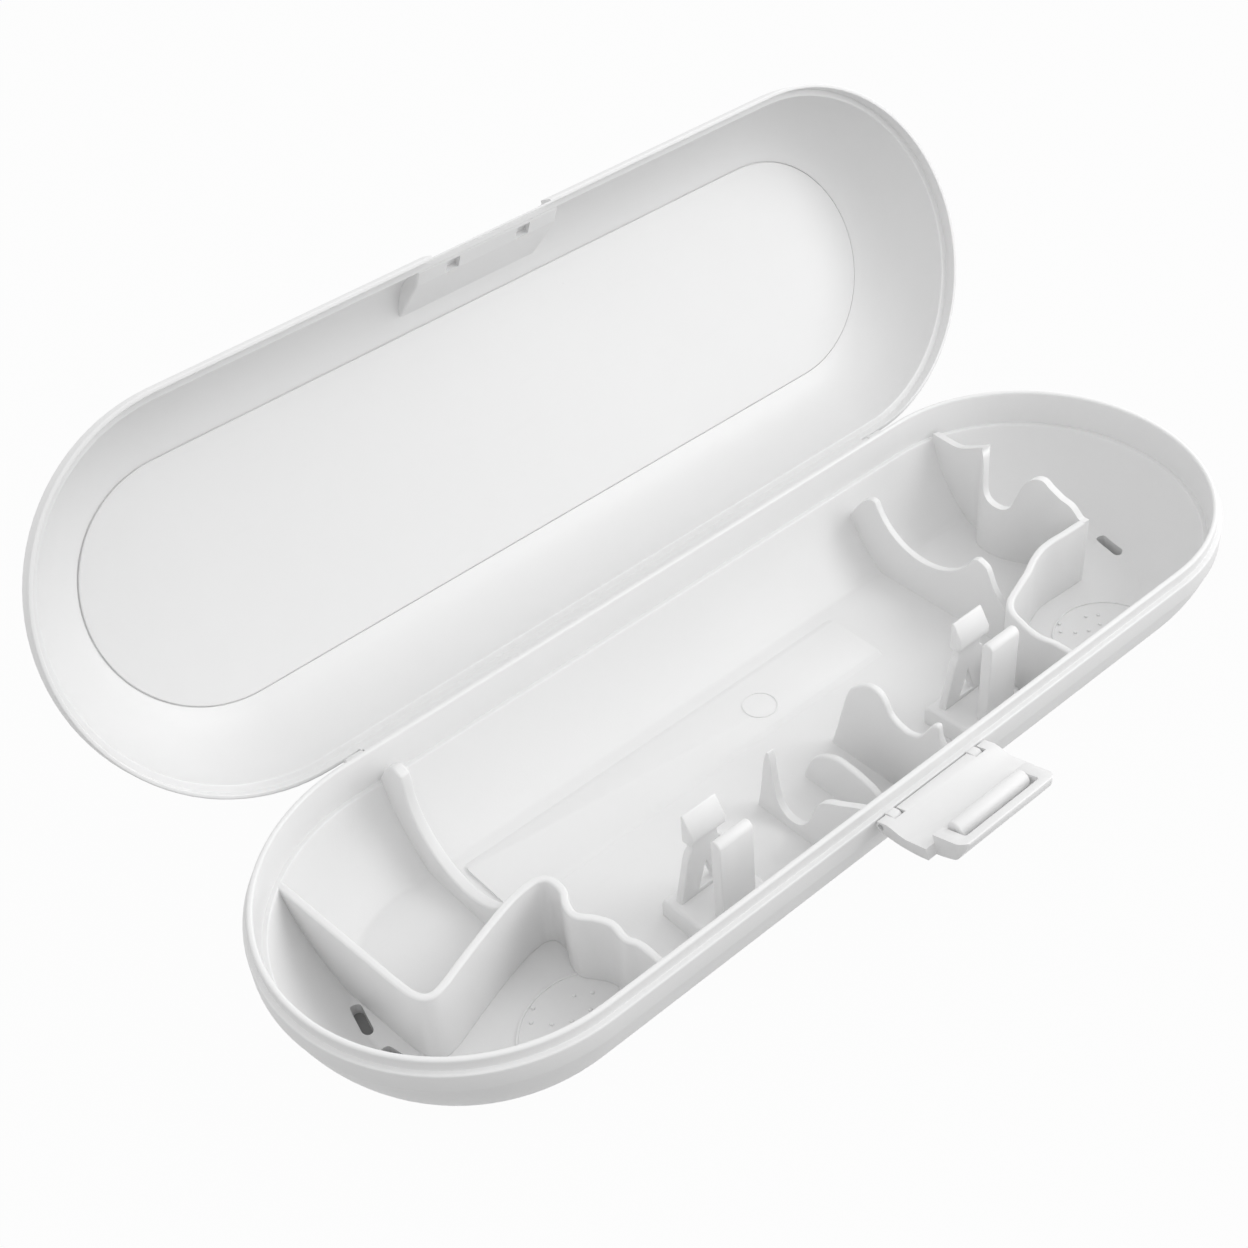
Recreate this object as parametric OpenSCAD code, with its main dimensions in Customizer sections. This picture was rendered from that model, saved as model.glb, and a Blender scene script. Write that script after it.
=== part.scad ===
// Travel case for an electric toothbrush and two brush heads: a tray-lined base,
// a hinged lid and a snap latch, all in injection-moulded plastic.
// The model stands open. The lid and the latch are drawn shut and turned back about their pins.

/* [Case] */
// Length of the case over its rim band
case_length = 230; // [200:1:260]
// Width of the case over its rim band
case_width = 79; // [74:0.5:90]
// Height of the base up to the top of its lip
base_height = 27.7; // [25:0.1:34]
// Height of the closed case
case_height = 46.4; // [44:0.1:56]
// Half-width of the flat underside
foot_radius = 25.6; // [22:0.1:28]
// Outward bow of the base's lower wall
base_bow = 2.2; // [1:0.1:3]
// Thickness of the base shell's floor
base_floor = 1.5; // [1.2:0.1:2.5]

/* [Rim] */
// Height of the lip that the lid closes over
lip_height = 2.5; // [2:0.1:4]
// Thickness of the lip
lip_thickness = 1.2; // [1:0.1:1.4]
// Distance from the band's outside to the lip's inside
rim_thickness = 2.3; // [2.2:0.1:3]
// Height of the rim band below the shoulder
band_height = 4.3; // [3:0.1:6]
// Step from the band back to the lower wall
band_step = 0.2; // [0.1:0.1:0.4]
// Clearance between the lid's skirt and the lip, and under the skirt
lid_clearance = 0.25; // [0.15:0.05:0.4]

/* [Tray] */
// Distance from the lip's top down to the tray's top edge
tray_drop = 8.2; // [6:0.1:10]
// Step in from the shell's wall to the tray's wall
tray_step = 1; // [0.8:0.1:1.4]
// Thickness of the tray's floor
tray_floor = 1.1; // [0.8:0.1:2]
// Half-width of the tray's flat floor
tray_floor_radius = 24.6; // [20:0.1:25]
// Outward bow of the tray's wall
tray_bow = 1.9; // [1:0.1:2.5]
// Gap between the tray and the shell's wall
tray_gap = 0.15; // [0.1:0.05:0.3]
// Thickness of the walls that stand in the tray
wall_thickness = 1.6; // [1.2:0.1:2.4]
// Height of the raised field on the tray's floor and of the drain rings
relief_height = 0.4; // [0.2:0.1:0.8]
// Length and width of one vent slot
vent_size = [2.2, 7]; // [1:0.1:10]

/* [Rests] */
// Place of the left handle rest along the case
left_rest_x = -69.2; // [-74:0.1:-64]
// Place of the right handle rest along the case
right_rest_x = 57.4; // [52:0.1:60]
// Thickness of the left handle rest
left_rest_thickness = 3.2; // [1.6:0.1:4]
// Place of the neck rest along the case
neck_rest_x = 82; // [80:0.1:84]
// Radius of the handle that lies in the rests
handle_radius = 15.3; // [13:0.1:16]
// Distance of the handle's axis behind the case's middle
handle_y = 13; // [10:0.1:15]

/* [Brush clips] */
// Distance of each clip from the case's middle
clip_x = 35.9; // [30:0.1:40]
// Width of a clip's leaves
clip_width = 8.2; // [6:0.1:10]
// Place of the brush heads' axis in front of the case's middle
head_y = 21.2; // [20:0.1:22]
// Free width between a clip's leaves
clip_gap = 6; // [5:0.1:7]
// Distance of the two cradles from the case's middle
cradle_x = 11.3; // [9:0.1:14]

/* [Lid] */
// Thickness of the lid's wall
lid_wall = 1.3; // [1.2:0.1:2.4]
// Height of the lid's own rim band
lid_band = 3.8; // [3:0.1:6]
// Distance of the panel let into the lid from the lid's rounded wall
panel_margin = 0.5; // [0.3:0.1:4]
// Thickness of that panel
panel_thickness = 0.6; // [0.6:0.1:1.2]
// Angle that the lid stands open
lid_open = 115; // [90:1:120]

/* [Hinge] */
// Half-length of the lid's hinge barrel
barrel_half = 69.2; // [50:0.1:70]
// Radius of the hinge barrel
barrel_radius = 2.1; // [1.9:0.1:2.3]
// Radius of the hinge pins
hinge_pin_radius = 1; // [0.8:0.05:1.2]
// Length of one hinge pin
hinge_pin_length = 14; // [10:0.5:20]
// Distance of the hinge axis outside the band
hinge_out = 0.9; // [0.8:0.05:1.4]
// Distance of the hinge axis below the lip's top
hinge_drop = 4.9; // [4.9:0.1:5.4]
// Clearance of a pin in the bore it turns in
pin_clearance = 0.05; // [0.02:0.01:0.1]
// Width of each ear that holds a pin
ear_width = 4; // [3:0.1:6]

/* [Latch] */
// Width of the latch at its root
latch_width = 28.7; // [24:0.1:32]
// Width of the latch's grip
grip_width = 24.6; // [20:0.1:28]
// Length of the latch from its root to its tip
latch_length = 16.9; // [15:0.1:17.5]
// Lean of the closed latch's inner face
latch_lean = 17.3; // [15:0.1:19]
// Angle between the open and the closed latch
latch_swing = 89.3; // [60:0.1:95]
// Radius of the latch's pin
latch_pin_radius = 0.6; // [0.5:0.05:0.7]
// Radius of the latch's knuckle
knuckle_radius = 1.1; // [1:0.05:1.3]
// Width of each ear that holds the latch's pin
latch_ear = 2.2; // [1.5:0.1:3]
// Distance of each ear from the latch's side
latch_ear_inset = 2.2; // [1.8:0.1:4]
// Radius of the bead that snaps over the catches
bead_radius = 1.3; // [1:0.05:1.5]
// Thickness of the latch's skin and border
latch_skin = 1.2; // [1:0.1:1.6]
// Distance of each catch from the case's middle
catch_x = 8.7; // [6:0.1:9]

/* [Hidden] */
$fn = 96;
eps = 0.01;
body_gap = 0.3;             // least distance between bodies that pass each other
case_white = [0.93, 0.93, 0.92];
liner_white = [0.96, 0.96, 0.95];
shade_white = [0.88, 0.88, 0.88];
pin_grey = [0.72, 0.73, 0.74];

band_r = case_width / 2;                     // rim band, from the case's spine
spine = case_length / 2 - band_r;            // half the straight length
lip_in = band_r - rim_thickness;
lip_out = lip_in + lip_thickness;
shoulder_z = base_height - lip_height;
band_z = shoulder_z - band_height;
tray_z = base_height - tray_drop;
tray_r = lip_in - tray_step;
floor_z = base_floor + tray_floor;
shell_foot_r = foot_radius - 0.4;            // inside of the shell at its floor

hinge_y = band_r + hinge_out;
hinge_z = base_height - hinge_drop;
lift = base_height - 27.7;                   // the walls' top lines are drawn for this lip height
stretch = (case_length - 230) / 2;           // and for this length

// ---------- curves ----------
// Centre of the circle through p and q that bows out by sag to the right of the way from p to q
function bow_radius(p, q, sag) = (norm(q - p) * norm(q - p) / 4 + sag * sag) / (2 * sag);
function bow_centre(p, q, sag) =
    let (way = (q - p) / norm(q - p), side = [way.y, -way.x])
    (p + q) / 2 - side * (bow_radius(p, q, sag) - sag);

// Smooth line through a few points, with steps short chords between each two
function pick(pts, i) = pts[max(0, min(len(pts) - 1, i))];
function blend4(a, b, c, d, t) =
    0.5 * (2 * b + (c - a) * t + (2 * a - 5 * b + 4 * c - d) * t * t
    + (3 * b - a - 3 * c + d) * t * t * t);
function smooth(pts, steps = 5) = concat(
    [for (i = [0 : len(pts) - 2], k = [0 : steps - 1])
        blend4(pick(pts, i - 1), pts[i], pts[i + 1], pick(pts, i + 2), k / steps)],
    [pts[len(pts) - 1]]);

// Points of an arc about a centre
function arc(c, r, from, to, steps = 24) =
    [for (k = [0 : steps]) c + r * [cos(from + (to - from) * k / steps),
        sin(from + (to - from) * k / steps)]];

// Outline of a wall of thickness t along a line of points
function tangent(pts, i) =
    let (d = pick(pts, i + 1) - pick(pts, i - 1)) d / norm(d);
function wall_outline(pts, t) = concat(
    [for (i = [0 : len(pts) - 1]) pts[i] + t / 2 * [tangent(pts, i).y, -tangent(pts, i).x]],
    [for (i = [len(pts) - 1 : -1 : 0]) pts[i] - t / 2 * [tangent(pts, i).y, -tangent(pts, i).x]]);

// ---------- sweeps ----------
// Sweeps a half section, x out from the spine and y up, round the case
module round_case() {
    for (end = [-1, 1])
        translate([end * spine, 0, 0])
            rotate([0, 0, -90 * end])
                rotate_extrude(angle = 180)
                    children();
    for (side = [0, 1])
        mirror([0, side, 0])
            rotate([90, 0, 90])
                translate([0, 0, -spine])
                    linear_extrude(2 * spine)
                        children();
}

// A section of the case's front or back, extruded along X: x points out, y up
module at_front(w) {
    rotate([90, 0, -90]) linear_extrude(w, center = true) children();
}
module at_back(w) {
    rotate([90, 0, 90]) linear_extrude(w, center = true) children();
}

// Half section of a bowl: flat bottom of radius low.x at low.y, bowed wall up to high
module bowl_section(low, high, bow) {
    r = bow_radius(low, high, bow);
    c = bow_centre(low, high, bow);
    intersection() {
        translate(c) circle(r);
        translate([0, low.y]) square([high.x + 1, high.y - low.y]);
    }
}

// Everything inside the tray, up past the lip
module tray_hollow() {
    round_case() {
        union() {
            bowl_section([tray_floor_radius, floor_z], [tray_r, tray_z], tray_bow);
            translate([0, tray_z - eps]) square([tray_r, tray_drop + lip_height]);
        }
    }
}

// ---------- base ----------
module base_section() {
    difference() {
        union() {
            bowl_section([foot_radius, 0], [band_r - band_step, band_z + eps], base_bow);
            translate([0, band_z]) square([band_r, band_height]);
            translate([0, shoulder_z - eps]) square([lip_out, lip_height + eps]);
        }
        bowl_section([shell_foot_r, base_floor], [lip_in, tray_z], base_bow);
        translate([0, tray_z - eps]) square([lip_in, tray_drop + 1]);
    }
}

// Vent slots through both ends of the shell and the tray
module vents() {
    for (end = [-1, 1], side = [-1, 1])
        translate([end * (spine + tray_floor_radius - 0.6), 6.3 * side, -1])
            rotate([0, 0, 14 * end * side])
                translate([-vent_size.x / 2, -vent_size.y / 2])
                    linear_extrude(floor_z + 8)
                        square(vent_size);
}

latch_root = [band_r, shoulder_z + 0.2];                       // on the inner face, closed
latch_way = [-sin(latch_lean), cos(latch_lean)];               // root to tip, closed
latch_out = [cos(latch_lean), sin(latch_lean)];                // out of its inner face, closed
rest_out = [-sin(18), cos(18)];
latch_axis = [band_r + knuckle_radius + 0.33, shoulder_z - 0.69];
latch_ear_x = latch_width / 2 - latch_ear_inset - body_gap - latch_ear / 2;

module base_shell() {
    color(case_white)
    difference() {
        union() {
            round_case() base_section();
            // hinge ears at both ends of the barrel
            for (end = [-1, 1])
                translate([end * (barrel_half + body_gap + ear_width / 2), 0, 0])
                    at_back(ear_width) {
                        translate([hinge_y, hinge_z]) circle(barrel_radius + 0.1);
                        translate([lip_out, hinge_z - barrel_radius])
                            square([hinge_y - lip_out, 2 * barrel_radius]);
                    }
            // ears that hold the latch's pin
            for (end = [-1, 1])
                translate([end * latch_ear_x, 0, 0])
                    at_front(latch_ear) {
                        translate(latch_axis) circle(knuckle_radius);
                        translate([lip_out, latch_axis.y - knuckle_radius])
                            square([latch_axis.x - lip_out, knuckle_radius + shoulder_z - latch_axis.y]);
                    }
        }
        // room for the hinge barrel
        at_back(2 * (barrel_half + body_gap)) {
            translate([hinge_y, hinge_z]) circle(barrel_radius + body_gap);
            translate([lip_out, hinge_z]) square([hinge_y, base_height]);
        }
        // holes for the pins
        at_back(4 * barrel_half) translate([hinge_y, hinge_z]) circle(hinge_pin_radius);
        at_front(2 * latch_width) translate(latch_axis) circle(latch_pin_radius);
        vents();
    }
}

module base_tray() {
    color(liner_white) {
        difference() {
            round_case()
                difference() {
                    bowl_section([shell_foot_r - tray_gap, base_floor],
                        [lip_in - tray_gap, tray_z], base_bow);
                    bowl_section([tray_floor_radius, floor_z], [tray_r, tray_z + eps], tray_bow);
                }
            vents();
        }
        // raised field under the handle
        translate([-65, 6.8, floor_z - eps]) cube([102, 13.8, relief_height + eps]);
        // drain rings in both head bays
        for (pad = [[-71.4 - stretch, -17.6], [74.5 + stretch, -17]])
            translate([pad.x, pad.y, floor_z - eps])
                linear_extrude(relief_height)
                    difference() {
                        circle(8.2);
                        circle(7.5);
                    }
    }
}

// ---------- walls that stand in the tray ----------
// A plate across the case with the top line given as [y, z] from back to front
module cross_plate(x, top, t = wall_thickness) {
    first = top[0];
    last = top[len(top) - 1];
    intersection() {
        translate([x + sign(x) * (abs(x) > cradle_x ? stretch : 0), 0, 0])
            at_back(t)
                polygon([for (p = concat(top, [[last.x, -lift], [first.x, -lift]])) p + [0, lift]]);
        tray_hollow();
    }
}

rest_left_z = 22.6;
module handle_rest_left() {
    color(liner_white)
    difference() {
        cross_plate(left_rest_x, concat(
            [[38, 19], [36, 21.5]],
            smooth([[34.2, 24.6], [31.4, 27], [28.6, 26.6]], 4),
            arc([handle_y, rest_left_z], handle_radius, 5, -142, 30),
            [[-3.9, 14]]), left_rest_thickness);
        left_wall();
    }
}

rest_right_z = 27.4;
module handle_rest_right() {
    color(liner_white)
    cross_plate(right_rest_x, concat(
        smooth([[38, 6], [35.6, 11.2], [31.5, 18.4], [28.8, 20.9], [27, 21.1]], 4),
        arc([handle_y, rest_right_z], handle_radius, -26, -154, 26),
        smooth([[-2, 21.4], [-4.6, 20.4], [-6.6, 16.6], [-8.6, 14.1], [-10.4, 12.4]], 4)));
}

// The neck rest bends in plan: its U stands forward, and it ends at the right bay wall
neck_line = [for (p = smooth([[3.5, 38], [3.2, 30], [2.7, 22.4], [1.5, 18.9], [-0.7, 17.2],
    [-2.3, 15.4], [-2.8, 12.8], [-2.6, 9.4], [-1.4, 6], [0, 3], [1.2, -1], [2, -5], [2.4, -8],
    [2.4, -8.7]], 4)) p + [neck_rest_x, 0]];
neck_top = concat(
    [[38, 20.9]],
    smooth([[31, 20.8], [27, 21.1], [22, 23.8], [18.4, 26.4], [16.8, 27.4], [15.8, 26.6],
        [15.4, 23.4], [15.2, 20.2], [14.7, 17.9], [13.4, 16.5], [11.4, 16], [9.2, 16.2], [7.8, 17.2],
        [7, 19.2], [6, 22.4], [5.1, 24.6], [3.5, 26.2], [1.6, 26.3], [0, 24.9], [-2.5, 23.1],
        [-5, 22], [-7.2, 19.8], [-8.2, tray_z - lift]], 4),
    [[-10.4, tray_z - lift]]);
module neck_wall() {
    translate([stretch, 0, 0])
        linear_extrude(case_height)
            polygon(wall_outline(neck_line, wall_thickness));
}
module neck_rest() {
    color(liner_white)
    intersection() {
        neck_wall();
        translate([neck_rest_x + stretch, 0, lift])
            at_back(20)
                polygon(concat(neck_top, [[-10.4, -lift], [38, -lift]]));
        tray_hollow();
    }
}

left_wall_line = smooth([[-98.5, 38], [-97.7, 29.2], [-96.6, 15.6], [-95.5, 2], [-95, -4.2],
    [-94.3, -8.4], [-92.6, -10.5], [-89.6, -10.3], [-84, -8.3], [-77, -5.9], [-70.4, -3.9],
    [-66, -3.2], [-63.2, -3.4], [-61.6, -5], [-61.6, -8.4], [-63.2, -11.4], [-63.6, -14.4],
    [-61.4, -17.6], [-60.2, -20.6], [-60.6, -24.4], [-59.6, -27.4], [-59.5, -32], [-59.5, -38]], 4);
module left_wall() {
    translate([-stretch, 0, 0])
        linear_extrude(tray_z)
            polygon(wall_outline(left_wall_line, wall_thickness));
}
module bay_wall_left() {
    color(liner_white)
    intersection() {
        left_wall();
        tray_hollow();
    }
}

right_wall_line = smooth([[neck_rest_x + 2.4, -8], [78.4, -7.8], [73.8, -7.5], [70.3, -7.8], [66.4, -9],
    [62.7, -10.6], [59.1, -11.8], [53.4, -13.9], [50.9, -16.5], [49.9, -19.4], [49.1, -22.6],
    [48.9, -25.4], [49.5, -28], [49.6, -31], [49.4, -38]], 4);
module bay_wall_right() {
    color(liner_white)
    difference() {
        intersection() {
            translate([stretch, 0, 0])
                linear_extrude(tray_z)
                    polygon(wall_outline(right_wall_line, wall_thickness));
            tray_hollow();
        }
        neck_wall();
    }
}

// ---------- brush clips ----------
clip_top = base_height + 0.5;
clip_base_z = 7.2;
hook_thickness = 1.8;
leaf_thickness = 2.6;
module clip_base(side) {
    intersection() {
        translate([side * clip_x, 0, 0])
            at_front(2 * clip_width)
                polygon([[13.8, 0], [13.8, clip_base_z - 1.2], [15, clip_base_z],
                    [band_r, clip_base_z + 1.6], [band_r, 0]]);
        tray_hollow();
    }
}
module clip_base_left() { color(liner_white) clip_base(-1); }
module clip_base_right() { color(liner_white) clip_base(1); }

// The rear leaf: an A-shaped foot with a window, a neck and a sloping hook
module clip_hook(side) {
    w = clip_width / 2;
    back = head_y - clip_gap / 2 - hook_thickness;
    foot = clip_base_z - 0.5;
    translate([side * clip_x, 0, 0]) {
        difference() {
            translate([0, -back, 0])
                rotate([90, 0, 0])
                    linear_extrude(hook_thickness)
                        polygon([[-w - 1.5, foot], [-w - 0.3, clip_top - 10.8],
                            [-w + 0.2, clip_top - 9.4], [-w + 1, clip_top - 8.6],
                            [-w + 1, clip_top - 6], [w - 1, clip_top - 6],
                            [w - 1, clip_top - 8.6], [w - 0.2, clip_top - 9.4],
                            [w + 0.3, clip_top - 10.8], [w + 1.5, foot]]);
            translate([0, -back + 1, 0])
                rotate([90, 0, 0])
                    linear_extrude(hook_thickness + 2)
                        polygon([[-1.2, foot + 2.6], [0.9, foot + 8.4], [2.6, foot + 2.6]]);
            translate([-side * clip_x, 0, 0]) clip_base(side);
        }
        at_front(clip_width)
            polygon([[back, clip_top - 6.6], [back, clip_top], [back + 0.6, clip_top + 0.2],
                [back + 3, clip_top - 3.6], [back + 3, clip_top - 5.6],
                [back + hook_thickness, clip_top - 6.6]]);
    }
}
module clip_hook_left() { color(liner_white) clip_hook(-1); }
module clip_hook_right() { color(liner_white) clip_hook(1); }

// The front leaf: a plain upright with a rounded top
module clip_leaf(side) {
    near = head_y + clip_gap / 2;
    foot = clip_base_z - 0.5;
    r = leaf_thickness / 2;
    difference() {
        translate([side * clip_x, 0, 0])
            at_front(clip_width) {
                translate([near, foot]) square([leaf_thickness, clip_top - r - foot]);
                translate([near + r, clip_top - r]) circle(r);
            }
        clip_base(side);
    }
}
module clip_leaf_left() { color(liner_white) clip_leaf(-1); }
module clip_leaf_right() { color(liner_white) clip_leaf(1); }

// ---------- cradles for the brush heads' sockets ----------
module cradle_left() {
    color(liner_white)
    cross_plate(-cradle_x, smooth([[-6.6, 2], [-7.6, 8], [-8.6, 16], [-9.6, 19.2], [-10.4, 17],
        [-11, 12.4], [-12.2, 7.6], [-14.2, 5.4], [-16.4, 5], [-18.6, 5.8], [-20.4, 8],
        [-21.6, 11.4], [-22.8, 14.4], [-25, 16.8], [-29, 19.2], [-33.4, 21.9], [-38, 24.4]], 4));
}
module cradle_right() {
    color(liner_white)
    cross_plate(cradle_x, smooth([[-4.6, 2], [-6.6, 10], [-8.8, 18.8], [-11, 22], [-14.2, 24.2],
        [-17, 24.2], [-18.8, 22.4], [-20.2, 20.2], [-22.8, 19], [-25.4, 19], [-27.8, 20.4],
        [-30.4, 24.8], [-32, 25.4], [-33, 22], [-38, 18]], 4));
}
// An arched rib between the cradles
module cradle_rib() {
    color(liner_white)
    cross_plate(0.6, smooth([[-7.4, 2], [-8.4, 6], [-10.8, 10.2], [-15.4, 13], [-19.4, 13.2],
        [-23.6, 12.6], [-27, 11.4], [-31, 8], [-34, 3]], 4));
}

// ---------- pins ----------
module hinge_pin(side) {
    outer = barrel_half + body_gap + ear_width;
    translate([side * (outer - hinge_pin_length / 2), hinge_y, hinge_z])
        rotate([0, 90, 0])
            cylinder(h = hinge_pin_length, r = hinge_pin_radius, center = true);
}
module hinge_pin_left() { color(pin_grey) hinge_pin(-1); }
module hinge_pin_right() { color(pin_grey) hinge_pin(1); }

module latch_pin() {
    color(pin_grey)
    translate([0, -latch_axis.x, latch_axis.y])
        rotate([0, 90, 0])
            cylinder(h = latch_width - 1, r = latch_pin_radius, center = true);
}

// ---------- lid, drawn shut ----------
lid_rim_z = shoulder_z + lid_clearance;
lid_spring_z = base_height + 0.5;                             // where the round wall begins
ceiling_z = case_height - lid_wall - 0.2;
lid_bow_radius = ceiling_z - lid_spring_z + 1;                // inside of the rounded wall
lid_centre = [lip_in - lid_bow_radius, lid_spring_z];
panel_radius = lid_centre.x + sqrt(2 * lid_bow_radius - 1) - panel_margin;
skirt_in = lip_out + lid_clearance;
lid_outer_r = lid_bow_radius + lid_wall;

module lid_outside() {
    intersection() {
        translate(lid_centre) circle(lid_outer_r);
        translate([lid_centre.x, lid_spring_z]) square([lid_outer_r, case_height - lid_spring_z]);
    }
    translate([0, lid_spring_z]) square([lid_centre.x + eps, case_height - lid_spring_z]);
    translate([0, lid_rim_z]) square([band_r, lid_band]);
}
module lid_inside() {
    intersection() {
        translate(lid_centre) circle(lid_bow_radius);
        translate([lid_centre.x - eps, lid_spring_z - eps])
            square([lid_bow_radius, ceiling_z - lid_spring_z]);
    }
    translate([0, lid_spring_z - eps]) square([lid_centre.x, ceiling_z - lid_spring_z]);
    translate([0, base_height + body_gap]) square([lip_in, 1]);
    translate([0, lid_rim_z - 1]) square([skirt_in, base_height + body_gap - lid_rim_z + 1]);
    translate([0, ceiling_z - 1]) square([panel_radius + 0.25, 1 + panel_thickness - 0.3]);
}

// The latch's housing, seen inside the lid as a flat swelling with a shelf
shelf_z = base_height + 1;
// these are measured from the rim band's outside and from the lip's top
housing = [[-1.1, 1], [-5.5, 1], [-11.4, 12.7], [-10.3, 15.5], [-3.5, 15.5]];
pocket = [[20, 2.2], [-4.1, 2.2], [-9.1, 11.5], [-5.9, 12.9], [20, 13.7]];
catch_rib = [[-8.5, 5.5], [-4.1, 6.5], [-4.1, 7.3], [-8.5, 7.7]];

function along_latch(u, w) = latch_root + u * latch_way + w * latch_out;

module lid_shut() {
    difference() {
        union() {
            difference() {
                round_case() difference() {
                    lid_outside();
                    lid_inside();
                }
            }
            intersection() {
                at_front(latch_width + 6.1) translate([band_r, base_height]) polygon(housing);
                round_case() lid_outside();
            }
            // hinge barrel and its web
            at_back(2 * barrel_half) {
                translate([hinge_y, hinge_z]) circle(barrel_radius);
                translate([skirt_in, hinge_z]) square([1.9, lid_rim_z + 1.6 - hinge_z]);
            }
        }
        difference() {
            at_front(latch_width + 3.7) translate([band_r, base_height]) polygon(pocket);
            for (side = [-1, 1])
                translate([side * catch_x, 0, 0])
                    at_front(2.4) translate([band_r, base_height]) polygon(catch_rib);
        }
        // windows under the catches
        for (side = [-1, 1])
            translate([side * catch_x, 0, 0])
                at_front(2.4) translate([band_r - 6.1, shelf_z - 1]) square([3, 2.6]);
        // the skirt is cut back behind the latch
        at_front(latch_width + 2 * body_gap)
            polygon([along_latch(-3, -body_gap), along_latch(6, -body_gap),
                along_latch(6, 9), along_latch(-3, 9)]);
        // bores for the hinge pins
        for (end = [-1, 1])
            translate([end * barrel_half, 0, 0])
                at_back(2 * hinge_pin_length)
                    translate([hinge_y, hinge_z]) circle(hinge_pin_radius + pin_clearance);
    }
}
module opened_lid() {
    translate([0, hinge_y, hinge_z])
        rotate([-lid_open, 0, 0])
            translate([0, -hinge_y, -hinge_z])
                children();
}
module lid_shell() {
    color(case_white) opened_lid() lid_shut();
}
module lid_panel() {
    color(shade_white)
    opened_lid()
        round_case()
            translate([0, ceiling_z - 0.3]) square([panel_radius, panel_thickness]);
}

// ---------- latch, drawn shut ----------
module latch_side() {
    tip = along_latch(latch_length, 0);
    outer_low = [latch_axis.x + knuckle_radius, latch_axis.y];
    outer_tip = tip + [4.2, -1.2];
    r = bow_radius(outer_low, outer_tip, 1.2);
    intersection() {
        polygon([along_latch(-0.7, 0), outer_low + [0, -0.3], outer_low + [6, 0],
            outer_tip + [6, 0], outer_tip + [0, 0.6], tip + [0.8, 0.1], tip]);
        translate(bow_centre(outer_low, outer_tip, 1.2)) circle(r);
    }
}
module latch_shut() {
    grip_u = 10;
    difference() {
        union() {
            intersection() {
                at_front(latch_width) latch_side();
                union() {
                    at_front(grip_width) translate([30, 20]) square([20, 30]);
                    at_front(latch_width)
                        polygon([along_latch(-4, -6), along_latch(grip_u, -6),
                            along_latch(grip_u, 9), along_latch(-4, 9)]);
                }
            }
            at_front(latch_width) translate(latch_axis) circle(knuckle_radius);
        }
        // slots for the base's ears
        for (end = [-1, 1])
            translate([end * latch_ear_x, 0, 0])
                at_front(latch_ear + 2 * body_gap)
                    translate(latch_axis) circle(knuckle_radius + 1);
        // hollow behind the bead
        difference() {
            at_front(grip_width - 2 * latch_skin)
                polygon([along_latch(grip_u, -1), along_latch(latch_length - 1.3, -1),
                    along_latch(latch_length - 1.3, 2.6), along_latch(grip_u, 2.6)]);
            at_front(19.6)
                polygon([along_latch(grip_u - 1, 0), along_latch(12.4, 0),
                    along_latch(13.6, 3), along_latch(grip_u - 1, 3)]);
        }
        at_front(2 * latch_width)
            translate(latch_axis) circle(latch_pin_radius + pin_clearance);
    }
    at_front(19.6) translate(along_latch(11.8, 0)) circle(bead_radius);
}
module latch() {
    color(case_white)
    translate([0, -latch_axis.x, latch_axis.y])
        rotate([latch_swing, 0, 0])
            translate([0, latch_axis.x, -latch_axis.y])
                latch_shut();
}

base_shell();
base_tray();
handle_rest_left();
handle_rest_right();
neck_rest();
bay_wall_left();
bay_wall_right();
clip_base_left();
clip_base_right();
clip_hook_left();
clip_hook_right();
clip_leaf_left();
clip_leaf_right();
cradle_left();
cradle_right();
cradle_rib();
hinge_pin_left();
hinge_pin_right();
latch_pin();
lid_shell();
lid_panel();
latch();
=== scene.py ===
import math

import bmesh
import bpy
from mathutils import Matrix, Vector


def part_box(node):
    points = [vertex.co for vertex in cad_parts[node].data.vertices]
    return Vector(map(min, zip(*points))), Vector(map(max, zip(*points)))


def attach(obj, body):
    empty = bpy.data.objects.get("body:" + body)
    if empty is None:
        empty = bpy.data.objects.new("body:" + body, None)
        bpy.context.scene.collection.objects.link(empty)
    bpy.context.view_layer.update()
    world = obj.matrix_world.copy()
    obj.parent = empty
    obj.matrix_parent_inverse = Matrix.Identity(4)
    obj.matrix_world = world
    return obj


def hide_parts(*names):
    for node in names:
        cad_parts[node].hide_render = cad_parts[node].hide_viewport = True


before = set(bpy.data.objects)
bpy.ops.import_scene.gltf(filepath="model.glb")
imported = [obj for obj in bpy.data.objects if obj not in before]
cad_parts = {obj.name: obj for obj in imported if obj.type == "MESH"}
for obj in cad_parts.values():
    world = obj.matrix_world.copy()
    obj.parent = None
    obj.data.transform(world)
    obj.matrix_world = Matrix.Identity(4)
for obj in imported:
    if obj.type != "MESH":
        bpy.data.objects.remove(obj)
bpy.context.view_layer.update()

# ---------------------------------------------------------------------------
# The floor: matt white paper that takes the case's faint shadow. The camera and
# mirrors see it glow white, but not under the foot, where the vents look down.
# ---------------------------------------------------------------------------
MM = 0.001
WHITE = (1, 1, 1, 1)
FLOOR_SIZE, FLOOR_GREY, FLOOR_GLOW = 6, 0.30, 0.97
UNLIT_HALF, UNLIT_R = 0.0755, 0.0255      # the foot's straight half length and its end radius


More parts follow.
